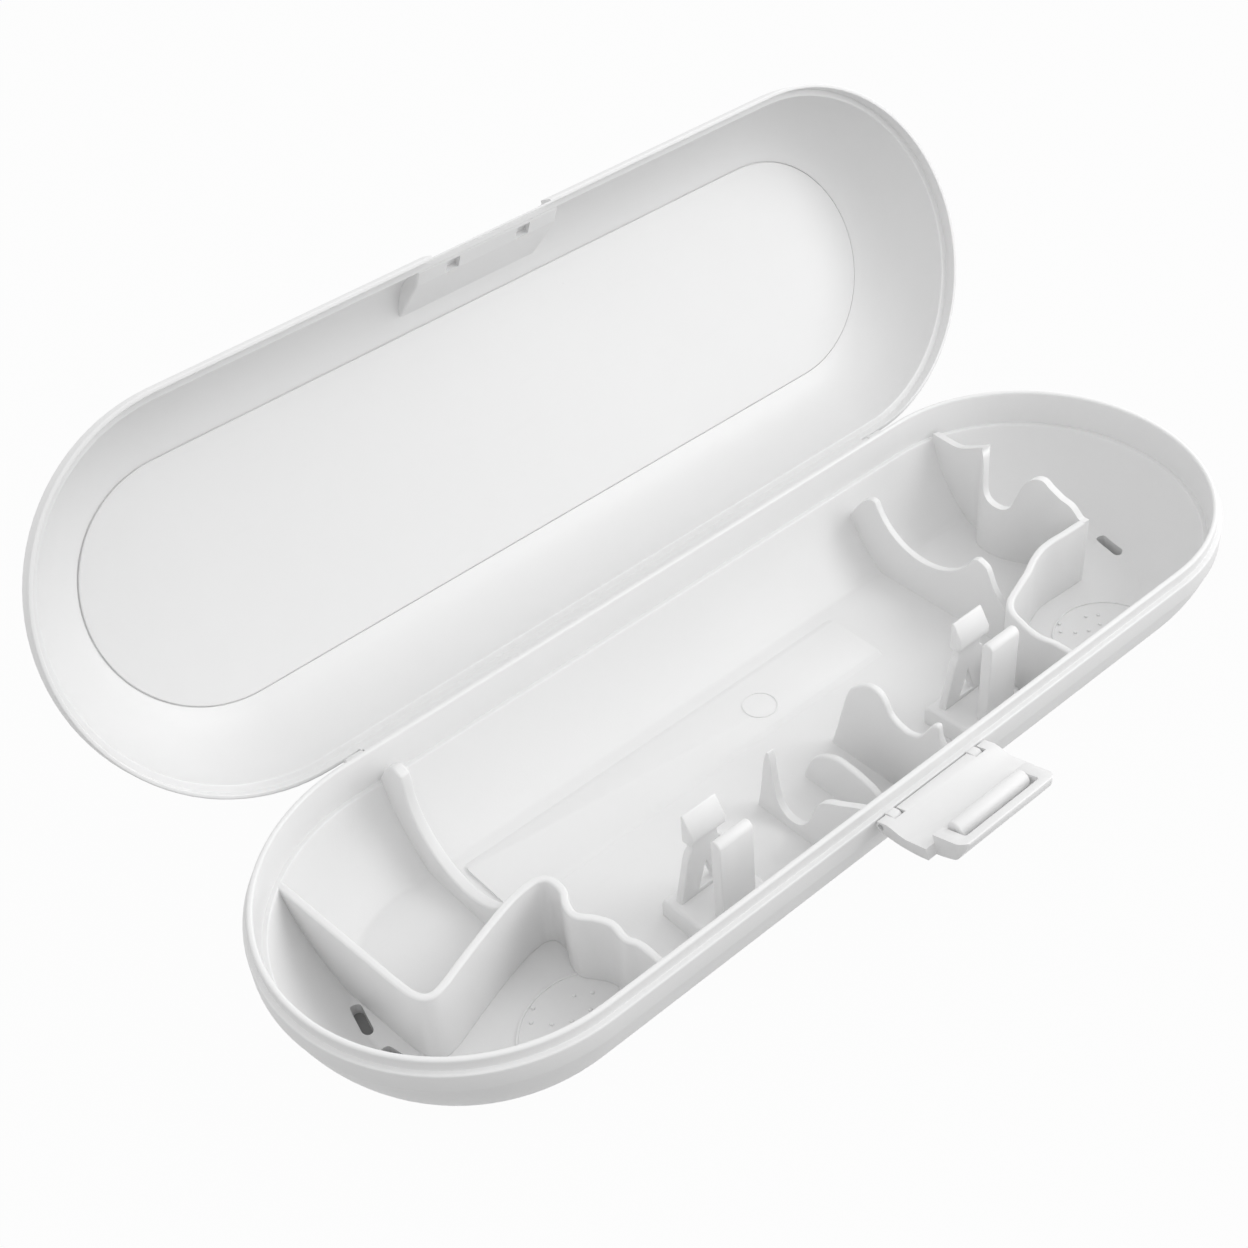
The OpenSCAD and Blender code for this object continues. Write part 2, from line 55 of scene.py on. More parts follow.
class Field:
    """A value that varies over a surface. Arithmetic on it adds Math nodes to its material."""

    def __init__(self, tree, socket):
        self.tree, self.socket = tree, socket

    @staticmethod
    def node(tree, kind, settings=None, inputs=None, output=0):
        made = tree.nodes.new(kind)
        for key, value in (settings or {}).items():
            if key == "stops":
                ramp = made.color_ramp.elements
                for element, (place, level) in zip(ramp, value):
                    element.position = place
                    element.color = (level, level, level, 1)
            else:
                setattr(made, key, value)
        for key, value in (inputs or {}).items():
            if isinstance(value, Field):
                tree.links.new(value.socket, made.inputs[key])
            else:
                made.inputs[key].default_value = value
        return Field(tree, made.outputs[output] if len(made.outputs) else None)

    def math(self, operation, a, b):
        return Field.node(self.tree, "ShaderNodeMath", {"operation": operation}, {0: a, 1: b})

    def __add__(self, other):
        return self.math("ADD", self, other)

    def __sub__(self, other):
        return self.math("SUBTRACT", self, other)

    def __rsub__(self, other):
        return self.math("SUBTRACT", other, self)

    def __mul__(self, other):
        return self.math("MULTIPLY", self, other)

    def __abs__(self):
        return self.math("ABSOLUTE", self, 0)

    def __gt__(self, other):
        return self.math("GREATER_THAN", self, other)

    def most(self, other):
        return self.math("MAXIMUM", self, other)

    __radd__ = __add__
    __rmul__ = __mul__


def new_material(name):
    made = bpy.data.materials.new(name)
    made.use_nodes = True
    made.node_tree.nodes.clear()
    return made, made.node_tree


def white_surround(tree, lit, share):
    """The lit surface, with plain white of strength 1 where the camera or a mirror sees it."""
    path = {"tree": tree, "kind": "ShaderNodeLightPath"}
    seen = Field.node(**path, output="Is Camera Ray")
    seen = seen.most(Field.node(**path, output="Is Glossy Ray"))
    seen = seen.most(Field.node(**path, output="Is Transmission Ray"))
    glow = Field.node(tree, "ShaderNodeEmission", None, {"Color": WHITE, "Strength": 1.0})
    return Field.node(tree, "ShaderNodeMixShader", None, {0: seen * share, 1: lit, 2: glow})


floor_material, tree = new_material("studio_floor")
spot = Field.node(tree, "ShaderNodeNewGeometry", output="Position")
along = Field.node(tree, "ShaderNodeSeparateXYZ", None, {0: spot}, output="X")
over = Field.node(tree, "ShaderNodeSeparateXYZ", None, {0: spot}, output="Y")
beyond = (abs(along) - UNLIT_HALF).most(0)
clear_of_foot = beyond * beyond + over * over > UNLIT_R ** 2
paper = Field.node(tree, "ShaderNodeBsdfDiffuse", None,
                   {"Color": (FLOOR_GREY, FLOOR_GREY, FLOOR_GREY, 1)})
Field.node(tree, "ShaderNodeOutputMaterial", None,
           {"Surface": white_surround(tree, paper, clear_of_foot * FLOOR_GLOW)})
bpy.ops.mesh.primitive_plane_add(size=FLOOR_SIZE, location=(0, 0, 0))
floor = bpy.context.object
floor.name = "studio_floor"
floor.data.materials.append(floor_material)

# ---------------------------------------------------------------------------
# The light: an even white surround, and three weak soft lamps on the right, above
# in front, low in front and at the side, all aimed at the middle of the case.
# ---------------------------------------------------------------------------
SURROUND_LEVEL = 0.90
LAMP_AIM, LAMP_SIZE = Vector((0, 0.03, 0.02)), 0.7

world = bpy.data.worlds.new("studio")
bpy.context.scene.world = world
world.use_nodes = True
world.node_tree.nodes.clear()
tree = world.node_tree
dome = Field.node(tree, "ShaderNodeBackground", None,
                  {"Color": WHITE, "Strength": SURROUND_LEVEL})
backdrop = Field.node(tree, "ShaderNodeBackground", None, {"Color": WHITE, "Strength": 1.0})
seen = Field.node(tree, "ShaderNodeLightPath", output="Is Camera Ray")
Field.node(tree, "ShaderNodeOutputWorld", None, {
    "Surface": Field.node(tree, "ShaderNodeMixShader", None, {0: seen, 1: dome, 2: backdrop})})


def lamp(name, place, power):
    data = bpy.data.lights.new(name, "AREA")
    data.shape, data.size, data.energy = "DISK", LAMP_SIZE, power
    made = bpy.data.objects.new(name, data)
    made.location = place
    made.rotation_euler = (LAMP_AIM - Vector(place)).to_track_quat("-Z", "Y").to_euler()
    bpy.context.collection.objects.link(made)


lamp("key_lamp", (0.75, -0.55, 0.85), 3.6)
lamp("front_lamp", (0.8, -0.8, 0.25), 2.2)
lamp("side_lamp", (1.2, 0.25, 0.5), 2.6)

# ---------------------------------------------------------------------------
# The camera: it looks down along the case from its front left corner, a little
# rolled. Its angles are in degrees, its aim and distance in mm.
# ---------------------------------------------------------------------------
CAMERA_AZIMUTH, CAMERA_ELEVATION, CAMERA_ROLL = -37.11, 41.24, -5.72
CAMERA_AIM = Vector((-12.8, 30.16, 27.7)) * MM
CAMERA_DISTANCE = 359.1 * MM
CAMERA_LENS, CAMERA_SENSOR, CAMERA_NEAR = 51.79, 36, 0.01

azimuth, elevation = math.radians(CAMERA_AZIMUTH), math.radians(CAMERA_ELEVATION)
roll = math.radians(CAMERA_ROLL)
back = Vector((math.sin(azimuth) * math.cos(elevation),
               -math.cos(azimuth) * math.cos(elevation), math.sin(elevation)))
level = Vector((0, 0, 1)).cross(back).normalized()
across = math.cos(roll) * level + math.sin(roll) * back.cross(level)
camera_data = bpy.data.cameras.new("camera")
camera_data.sensor_width = CAMERA_SENSOR
camera_data.lens = CAMERA_LENS
camera_data.clip_start = CAMERA_NEAR
camera = bpy.data.objects.new("camera", camera_data)
turn = Matrix((across, back.cross(across), back)).transposed().to_4x4()
camera.matrix_world = Matrix.Translation(CAMERA_AIM + back * CAMERA_DISTANCE) @ turn
bpy.context.collection.objects.link(camera)
bpy.context.scene.camera = camera
bpy.context.scene.view_settings.view_transform = "Standard"

# ---------------------------------------------------------------------------
# The base shell: one white polypropylene moulding, with a flat foot, a bowed wall, a
# rim band with a shoulder, and a lip that the lid closes over. It carries the ears
# of both hinges, and two slender vents pass through each end.
# ---------------------------------------------------------------------------
SPINE = 75.5                      # half the straight length of every section, in mm
FOOT_R, FOOT_THICK = 25.6, 1.5
WALL_OUT, WALL_SAG = 39.3, 2.2    # the lower wall's upper end, and how far it bows out
BAND, BAND_LOW = 39.5, 20.9       # the rim band, out from the spine, and its lower edge
SHOULDER = 25.2
LIP_IN, LIP_OUT, LIP_TOP = 37.2, 38.4, 27.7
TRAY_TOP = 19.5                   # where the tray's wall ends and the lip begins
HINGE_Y, HINGE_Z = 40.4, 22.8
BARREL_HALF, BARREL_R = 69.2, 2.1
HINGE_EAR_R, HINGE_EAR_ROOT = 2.2, 37.8
EAR_NEAR, EAR_FAR = BARREL_HALF + 0.3, BARREL_HALF + 4.3
PIN_S, PIN_Z = 40.93, 24.51       # the latch's pin, s pointing out of the front
LATCH_HALF = 14.35
LATCH_EAR, LATCH_EAR_HALF = 10.75, 1.1
KNUCKLE_R, LATCH_EAR_ROOT = 1.1, 38.2
VENT_OUT, VENT_APART, VENT_TURN = 23.3, 5.7, 13
VENT_W, VENT_L, VENT_CORNER = 1.1, 3.8, 1.05      # half width and half length of a vent
SHARP_ANGLE, EDGE_ANGLE = math.radians(32), math.radians(40)


def bow(low, high, sag, steps=14):
    """Points of the arc between two points of a section, bowed outwards by sag."""
    low, high = Vector(low), Vector(high)
    chord = high - low
    radius = (chord.length_squared / 4 + sag * sag) / (2 * sag)
    out = Vector((chord.y, -chord.x)).normalized()
    centre = (low + high) / 2 - out * (radius - sag)
    start, end = low - centre, high - centre
    sweep = start.angle_signed(end)
    return [centre + Matrix.Rotation(-sweep * k / steps, 2) @ start for k in range(steps + 1)]


def softened(corners, steps=4):
    """A closed outline whose corners (u, v, radius) are rounded. A plain point keeps its place."""
    outline = []
    for i, corner in enumerate(corners):
        p = Vector(corner[:2])
        if len(corner) < 3:
            outline.append(p)
            continue
        before = Vector(corners[i - 1][:2]) - p
        after = Vector(corners[(i + 1) % len(corners)][:2]) - p
        half = before.angle(after) / 2
        reach = min(corner[2] / math.tan(half), 0.49 * before.length, 0.49 * after.length)
        radius = reach * math.tan(half)
        a, b = before.normalized(), after.normalized()
        centre = p + (a + b).normalized() * (radius / math.sin(half))
        start, end = p + a * reach - centre, p + b * reach - centre
        turned = start.angle(end)
        for k in range(steps + 1):
            share = k / steps
            outline.append(centre + (start * math.sin((1 - share) * turned)
                                     + end * math.sin(share * turned)) / math.sin(turned))
    return outline


def oblong(x_ends, y_ends, radius):
    """A rectangle with rounded corners."""
    (x0, x1), (y0, y1) = x_ends, y_ends
    return softened([(x0, y0, radius), (x1, y0, radius), (x1, y1, radius), (x0, y1, radius)])


def ring(centre, radius, steps=32):
    return [(centre[0] + radius * math.cos(math.tau * k / steps),
             centre[1] + radius * math.sin(math.tau * k / steps)) for k in range(steps)]


def half_ring(centre, radius):
    """The half of a ring that faces away from the case, from below to above."""
    points = ring(centre, radius)
    return points[24:] + points[:9]


def make_object(name, work):
    """Closes a mesh drawn in mm, turns it into metres and puts it in the scene."""
    bmesh.ops.remove_doubles(work, verts=work.verts, dist=1e-4)
    bmesh.ops.dissolve_degenerate(work, edges=work.edges, dist=1e-5)
    bmesh.ops.recalc_face_normals(work, faces=work.faces)
    bmesh.ops.scale(work, vec=(MM, MM, MM), verts=work.verts)
    mesh = bpy.data.meshes.new(name)
    work.to_mesh(mesh)
    work.free()
    made = bpy.data.objects.new(name, mesh)
    bpy.context.collection.objects.link(made)
    return made


def carried_round(name, outline, arc_steps=48):
    """Carries a closed half section (distance from the spine, height) round the case."""
    work = bmesh.new()
    stations = [(side * SPINE, math.radians(first + 180 * k / arc_steps))
                for side, first in ((1, -90), (-1, 90)) for k in range(arc_steps + 1)]
    rings = [[work.verts.new((x + p[0] * math.cos(a), p[0] * math.sin(a), p[1]))
              for p in outline] for x, a in stations]
    count = len(outline)
    for i, section in enumerate(rings):
        other = rings[(i + 1) % len(rings)]
        for k in range(count):
            n = (k + 1) % count
            if outline[k][0] > 0 or outline[n][0] > 0:
                work.faces.new((section[k], section[n], other[n], other[k]))
    return make_object(name, work)


def prism(name, *ends):
    """A closed solid between two matching rows of points."""
    work = bmesh.new()
    first, last = [[work.verts.new(p) for p in row] for row in ends]
    for k in range(len(first)):
        n = (k + 1) % len(first)
        work.faces.new((first[k], first[n], last[n], last[k]))
    work.faces.new(first)
    work.faces.new(last)
    return make_object(name, work)


def bar(name, outline, low, high):
    """An outline in (y, z) drawn out along X from low to high."""
    return prism(name, *([(x, p[0], p[1]) for p in outline] for x in (low, high)))


def front(outline):
    """An outline in (s, z), s out of the case's front, as (y, z)."""
    return [(-p[0], p[1]) for p in outline]


def upright(name, outline, low, high, spread=0):
    """A plan outline drawn up from low to high, its long sides sloping out below by spread."""
    middle = sum(p[1] for p in outline) / len(outline)
    return prism(name, *([(p[0], p[1] + math.copysign(wider, p[1] - middle), z) for p in outline]
                         for z, wider in ((low, spread), (high, 0))))


def applied(made):
    """Turns an object's modifiers into its mesh."""
    bpy.context.view_layer.update()
    as_shown = made.evaluated_get(bpy.context.evaluated_depsgraph_get())
    mesh = bpy.data.meshes.new_from_object(as_shown)
    made.modifiers.clear()
    made.data = mesh
    return made


def combined(made, how, *tools):
    """Joins tools to a piece, cuts them out of it, or keeps what they share."""
    for tool in tools:
        step = made.modifiers.new("join", "BOOLEAN")
        step.object, step.operation, step.solver = tool, how, "EXACT"
        applied(made)
        bpy.data.objects.remove(tool)
    return made


def rounded_edges(made, width, steps=3):
    step = made.modifiers.new("edges", "BEVEL")
    step.width, step.segments, step.limit_method = width * MM, steps, "ANGLE"
    step.angle_limit = EDGE_ANGLE
    step.use_clamp_overlap = True
    return applied(made)


def finished(made, material, body, nodes=()):
    """Shades a piece, gives it its material and ties it to its body and nodes."""
    for face in made.data.polygons:
        face.use_smooth = True
    made.data.set_sharp_from_angle(angle=SHARP_ANGLE)
    made.data.materials.clear()
    made.data.materials.append(material)
    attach(made, body)
    if nodes:
        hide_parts(*nodes)
    return made


def moulded_plastic(name, colour, roughness, grain):
    """Satin white plastic: fine spark-eroded grain, faint sink marks, uneven gloss and wear."""
    mottle = 0.012
    grain_scale, sink_scale, rub_scale = 2600, 34, 160
    scuff_scale, scuff_edge = (120, 900, 500), ((0.62, 0), (0.74, 1))
    made, tree = new_material(name)
    place = Field.node(tree, "ShaderNodeTexCoord", output="Object")

    def noise(scale, detail):
        return Field.node(tree, "ShaderNodeTexNoise", None,
                          {"Vector": place, "Scale": scale, "Detail": detail, "Roughness": 0.55})

    fine, broad, rub = noise(grain_scale, 2), noise(sink_scale, 2), noise(rub_scale, 5)
    drawn_out = Field.node(tree, "ShaderNodeVectorMath", {"operation": "MULTIPLY"},
                           {0: place, 1: scuff_scale})
    scuffs = Field.node(tree, "ShaderNodeTexNoise", None,
                        {"Vector": drawn_out, "Scale": 1.0, "Detail": 3})
    worn = Field.node(tree, "ShaderNodeValToRGB", {"stops": scuff_edge}, {0: scuffs})
    tone = 1 - mottle * broad - 0.5 * mottle * worn
    grey = Field.node(tree, "ShaderNodeCombineColor", None, {0: tone, 1: tone, 2: tone})
    shade = Field.node(tree, "ShaderNodeMix", {"data_type": "RGBA", "blend_type": "MULTIPLY"},
                       {"Factor": 1.0, "A": (*colour, 1), "B": grey}, output=2)
    height = fine * grain + broad * 6 + worn * 0.05
    bump = Field.node(tree, "ShaderNodeBump", None,
                      {"Height": height, "Strength": 0.35, "Distance": 0.00006})
    surface = Field.node(tree, "ShaderNodeBsdfPrincipled", None, {
        "Base Color": shade, "Roughness": roughness + 0.10 * rub + 0.06 * worn - 0.05,
        "Normal": bump, "IOR": 1.49, "Specular IOR Level": 0.42})
    Field.node(tree, "ShaderNodeOutputMaterial", None, {"Surface": surface})
    return made


def vent_cutters():
    """Slender rounded cutters for the two vents at each end."""
    slot = oblong((-VENT_W, VENT_W), (-VENT_L, VENT_L), VENT_CORNER)
    cutters = []
    for end, side in ((-1, -1), (-1, 1), (1, -1), (1, 1)):
        turned = Matrix.Rotation(math.radians(VENT_TURN * end * side), 2)
        middle = Vector((end * (SPINE + VENT_OUT), side * VENT_APART))
        cutters.append(upright("vent", [turned @ p + middle for p in slot], -1, 9))
    return cutters


shell_plastic = moulded_plastic("white_shell_plastic", (0.80, 0.80, 0.80), 0.36, 0.35)
outer_line = bow((FOOT_R, 0), (WALL_OUT, BAND_LOW), WALL_SAG)
inner_line = bow((FOOT_R - 0.4, FOOT_THICK), (LIP_IN, TRAY_TOP), WALL_SAG)
base_shell = carried_round("base_shell_moulding", softened([
    (0, 0), (FOOT_R - 1.2, 0), (FOOT_R, 0, 1.0), *outer_line[1:-1],
    (WALL_OUT, BAND_LOW - 0.1, 0.1), (BAND, BAND_LOW, 0.15), (BAND, SHOULDER, 0.4),
    (LIP_OUT, SHOULDER, 0.12), (LIP_OUT, LIP_TOP, 0.5), (LIP_IN, LIP_TOP, 0.5),
    (LIP_IN, TRAY_TOP + 0.1), *reversed(inner_line), (0, FOOT_THICK)]))
for end in (-1, 1):
    hinge_ear = bar("hinge_ear", [(HINGE_EAR_ROOT, HINGE_Z - 2.1),
                                  *half_ring((HINGE_Y, HINGE_Z), HINGE_EAR_R),
                                  (HINGE_EAR_ROOT, HINGE_Z + HINGE_EAR_R)],
                    *sorted((end * EAR_NEAR, end * EAR_FAR)))
    combined(base_shell, "UNION", rounded_edges(hinge_ear, 0.35))
    latch_ear = bar("latch_ear", front([
        (LATCH_EAR_ROOT, PIN_Z - KNUCKLE_R), *half_ring((PIN_S, PIN_Z), KNUCKLE_R),
        (BAND + 0.4, PIN_Z + 0.9), (BAND + 0.2, SHOULDER), (LATCH_EAR_ROOT, SHOULDER)]),
        end * LATCH_EAR - LATCH_EAR_HALF, end * LATCH_EAR + LATCH_EAR_HALF)
    combined(base_shell, "UNION", rounded_edges(latch_ear, 0.2))
barrel_room = bar("barrel_room", ring((HINGE_Y, HINGE_Z), BARREL_R + 0.3, 48),
                  -EAR_NEAR, EAR_NEAR)
web_room = bar("web_room", [(LIP_OUT - 0.01, HINGE_Z), (45, HINGE_Z), (45, 30),
                            (LIP_OUT - 0.01, 30)], -EAR_NEAR, EAR_NEAR)
combined(base_shell, "DIFFERENCE", barrel_room, web_room, *vent_cutters())
finished(base_shell, shell_plastic, "base", ["base_shell"])

# ---------------------------------------------------------------------------
# The tray: a liner of the same plastic, with a finer grain, that lies in the shell's
# hollow and fills it up to the lip. The shell's vents pass through it as well.
# ---------------------------------------------------------------------------
TRAY_R, TRAY_FLOOR, TRAY_UNDER = 36.2, 2.6, 1.4
TRAY_FOOT, TRAY_FOOT_OUT, TRAY_SAG = 24.6, 25.15, 1.9
SUNK = TRAY_FLOOR - 0.2           # where what stands on the tray's floor is rooted
ABOVE_ALL = 40                    # a height that nothing in the tray reaches

tray_plastic = moulded_plastic("white_tray_plastic", (0.80, 0.80, 0.80), 0.42, 0.6)
tray_inner = bow((TRAY_FOOT, TRAY_FLOOR), (TRAY_R, TRAY_TOP), TRAY_SAG)
tray_outer = bow((TRAY_FOOT_OUT, TRAY_UNDER), (LIP_IN + 0.1, TRAY_TOP), WALL_SAG)
tray = carried_round("tray_moulding", softened([
    (0, TRAY_UNDER), (TRAY_FOOT_OUT, TRAY_UNDER), *tray_outer[1:-1],
    (LIP_IN + 0.1, TRAY_TOP), (TRAY_R, TRAY_TOP, 0.35), *reversed(tray_inner[1:-1]),
    (TRAY_FOOT, TRAY_FLOOR, 2.5), (0, TRAY_FLOOR)]))
combined(tray, "DIFFERENCE", *vent_cutters())
finished(tray, tray_plastic, "base", ["base_tray"])

# ---------------------------------------------------------------------------
# The handle's field: a low raised field in the tray's floor whose long sides slope,
# with a fine bare ring on it. Both are moulded with the tray.
# ---------------------------------------------------------------------------
FIELD_X, FIELD_Y = (-63.9, 37), (6.8, 20.6)
FIELD_HIGH, FIELD_SLOPE = 0.55, 1.3
MARK, MARK_R, MARK_LINE = (7.3, 12.8), 3.8, 0.3

handle_field = upright("handle_field", oblong(FIELD_X, FIELD_Y, 0.8),
                       TRAY_FLOOR - 0.05, TRAY_FLOOR + FIELD_HIGH, FIELD_SLOPE)
finished(handle_field, tray_plastic, "base")
maker_ring = upright("maker_ring", ring(MARK, MARK_R, 48), TRAY_FLOOR + 0.4, TRAY_FLOOR + 0.67)
combined(maker_ring, "DIFFERENCE", upright("hole", ring(MARK, MARK_R - MARK_LINE, 48), 1, 9))
finished(maker_ring, tray_plastic, "base")

# ---------------------------------------------------------------------------
# The drain pads: at each end a fine raised ring with seven small studs, moulded
# with the tray's floor. The rings run out into the tray's wall.
# ---------------------------------------------------------------------------
RING_LINE, RING_HIGH, STUD_R, STUD_HIGH = 0.5, 0.3, 0.4, 0.4
STUD_SCALE = 14.6                 # the radius of the ring that the studs' places are given for
DRAINS = (("left", -70.4, -26.5, 14.6), ("right", 74, -25, 12))     # x, y and radius
STUDS = ((-6.8, 10.4), (-4.6, 12.6), (-4.4, 7.6), (2.4, 9.6), (5.2, 7.8), (2.6, 5.2), (-1.4, 5.6))


def trimmed(made):
    """Cuts a piece off just inside the tray's wall."""
    low, out = TRAY_FLOOR - 0.15, TRAY_R + 0.2
    wall_line = bow((TRAY_FOOT + 0.1, low), (out, TRAY_TOP), TRAY_SAG)
    room = carried_round("room", [(0, low), *wall_line, (out, ABOVE_ALL), (0, ABOVE_ALL)])
    return combined(made, "INTERSECT", room)


for side, x, y, radius in DRAINS:
    drain = upright("drain_ring_" + side, ring((x, y), radius, 96), SUNK, TRAY_FLOOR + RING_HIGH)
    combined(drain, "DIFFERENCE", upright("hole", ring((x, y), radius - RING_LINE, 96), 1, 9))
    for u, v in STUDS:
        centre = (x + u * radius / STUD_SCALE, y + v * radius / STUD_SCALE)
        stud = upright("stud", ring(centre, STUD_R, 16), SUNK, TRAY_FLOOR + STUD_HIGH)
        combined(drain, "UNION", stud)
    finished(trimmed(rounded_edges(drain, 0.12, 2)), tray_plastic, "base")

# ---------------------------------------------------------------------------
# The handle rests: thin standing plates with a round saddle that the handle lies
# in, moulded with the tray. They stand on its floor and meet its wall.
# ---------------------------------------------------------------------------
WALL, PLATE_ROOT = 1.6, 1.0
HANDLE_Y, HANDLE_R = 13.0, 15.3
LEFT_REST_X, LEFT_REST_WALL, RIGHT_REST_X = -68.3, 2.4, 57.4


def smooth_line(points, steps=5):
    """A smooth line through a few points."""
    points = [Vector(p) for p in points]
    last = len(points) - 1
    line = []
    for i in range(last):
        a, b, c, d = (points[max(0, min(last, i + k))] for k in (-1, 0, 1, 2))
        for k in range(steps):
            t = k / steps
            line.append(0.5 * (2 * b + (c - a) * t + (2 * a - 5 * b + 4 * c - d) * t * t
                               + (3 * b - a - 3 * c + d) * t ** 3))
    return line + [points[last]]


def arc(centre, radius, first, last, steps):
    """Points of a circle from one angle to another, in degrees."""
    angles = [math.radians(first + (last - first) * k / steps) for k in range(steps + 1)]
    return [(centre[0] + radius * math.cos(a), centre[1] + radius * math.sin(a)) for a in angles]


def cross_plate(name, x, top, node, thickness=WALL, edge=0.5):
    """A plate across the case with its top line given from back to front."""
    outline = [*top, (top[-1][0], PLATE_ROOT), (top[0][0], PLATE_ROOT)]
    plate = bar(name, outline, x - thickness / 2, x + thickness / 2)
    plate = trimmed(rounded_edges(plate, edge, 5))
    return finished(plate, tray_plastic, "base", [node])


cross_plate("handle_rest_left_plate", LEFT_REST_X, [
    (38, 19), (36, 21.5), *smooth_line([(34.2, 24.6), (31.4, 27), (28.6, 26.6)], 4),
    *arc((HANDLE_Y, 22.6), HANDLE_R, 5, -142, 40), (-3.9, 14)],
    "handle_rest_left", LEFT_REST_WALL, 1.1)
cross_plate("handle_rest_right_plate", RIGHT_REST_X, [
    *smooth_line([(38, 6), (35.6, 11.2), (31.5, 18.4), (28.8, 20.9), (27, 21.1)]),
    *arc((HANDLE_Y, 27.4), HANDLE_R, -26, -154, 36),
    *smooth_line([(-2, 21.4), (-4.6, 20.4), (-6.6, 16.6), (-8.6, 14.1), (-10.4, 12.4)])],
    "handle_rest_right")

# ---------------------------------------------------------------------------
# The neck rest and the bay walls: ribbons of the tray's plastic that bend round
# the brush heads' bays. The neck rest stands taller, with a narrow U in it.
# ---------------------------------------------------------------------------
NECK_X = 82.0
NECK_FRONT, NECK_BACK = -10.4, 38


def ribbon(line, thickness):
    """The plan outline of a wall that follows a line."""
    left, right = [], []
    for i, p in enumerate(line):
        ahead = (line[min(i + 1, len(line) - 1)] - line[max(i - 1, 0)]).normalized()
        aside = Vector((ahead.y, -ahead.x)) * thickness / 2
        left.append(p + aside)
        right.append(p - aside)
    return left + right[::-1]


neck_line = smooth_line([(NECK_X + u, v) for u, v in (
    (3.5, 38), (3.2, 30), (2.7, 22.4), (1.5, 18.9), (-0.7, 17.2), (-2.3, 15.4), (-2.8, 12.8),
    (-2.6, 9.4), (-1.4, 6), (0, 3), (1.2, -1), (2, -5), (2.4, -8), (2.4, -8.7))], 6)
neck_top = smooth_line([
    (31, 20.8), (27, 21.1), (22, 23.8), (18.4, 26.4), (16.8, 27.4), (15.8, 26.6), (15.4, 23.4),
    (15.2, 20.2), (14.7, 17.9), (13.4, 16.5), (11.4, 16), (9.2, 16.2), (7.8, 17.2), (7, 19.2),
    (6, 22.4), (5.1, 24.6), (3.5, 26.2), (1.6, 26.3), (0, 24.9), (-2.5, 23.1), (-5, 22),
    (-7.2, 19.8), (-8.2, TRAY_TOP)], 6)
neck = bar("neck_rest_ribbon", [
    (NECK_BACK, 20.9), *neck_top, (NECK_FRONT, TRAY_TOP), (NECK_FRONT, PLATE_ROOT),
    (NECK_BACK, PLATE_ROOT)], NECK_X - 6, NECK_X + 8)
combined(neck, "INTERSECT", upright("plan", ribbon(neck_line, WALL), 0, ABOVE_ALL))
finished(trimmed(rounded_edges(neck, 0.5, 4)), tray_plastic, "base", ["neck_rest"])

left_line = smooth_line([
    (-98.5, 38), (-97.7, 29.2), (-96.6, 15.6), (-95.5, 2), (-95, -4.2), (-94.3, -8.4),
    (-92.6, -10.5), (-89.6, -10.3), (-84, -8.3), (-77, -5.9), (-70.4, -3.9), (-66, -3.2),
    (-63.2, -3.4), (-61.6, -5), (-61.6, -8.4), (-63.2, -11.4), (-63.6, -14.4), (-61.4, -17.6),
    (-60.2, -20.6), (-60.6, -24.4), (-59.6, -27.4), (-59.5, -32), (-59.5, -38)], 6)
right_line = smooth_line([
    (NECK_X + 2.3, -8), (78.4, -7.8), (73.8, -7.5), (70.3, -7.8), (66.4, -9), (62.7, -10.6),
    (59.1, -11.8), (53.4, -13.9), (50.9, -16.5), (49.9, -19.4), (49.1, -22.6), (48.9, -25.4),
    (49.5, -28), (49.6, -31), (49.4, -38)], 6)
for name, line in (("bay_wall_left", left_line), ("bay_wall_right", right_line)):
    wall = upright(name + "_ribbon", ribbon(line, WALL), SUNK, TRAY_TOP)
    finished(trimmed(rounded_edges(wall, 0.5, 4)), tray_plastic, "base", [name])

# ---------------------------------------------------------------------------
# The brush clips: on each raised block a hooked leaf on an A-shaped foot, and a
# plain rounded leaf in front of it. A brush head's shaft snaps in between.
# ---------------------------------------------------------------------------
CLIP_X, CLIP_W, CLIP_GAP = 35.9, 8.2, 6.0
CLIP_TOP, BLOCK_TOP, BLOCK_HALF = 28.2, 7.2, 8.2
HEAD_S = 21.2                     # the brush head's shaft, out from the spine
HOOK_THICK, LEAF_THICK = 1.8, 2.6


def facing(name, outline, near, far, x):
    """An outline in (x, z) drawn out towards the front from near to far."""
    return prism(name, *([(x + p[0], -s, p[1]) for p in outline] for s in (near, far)))


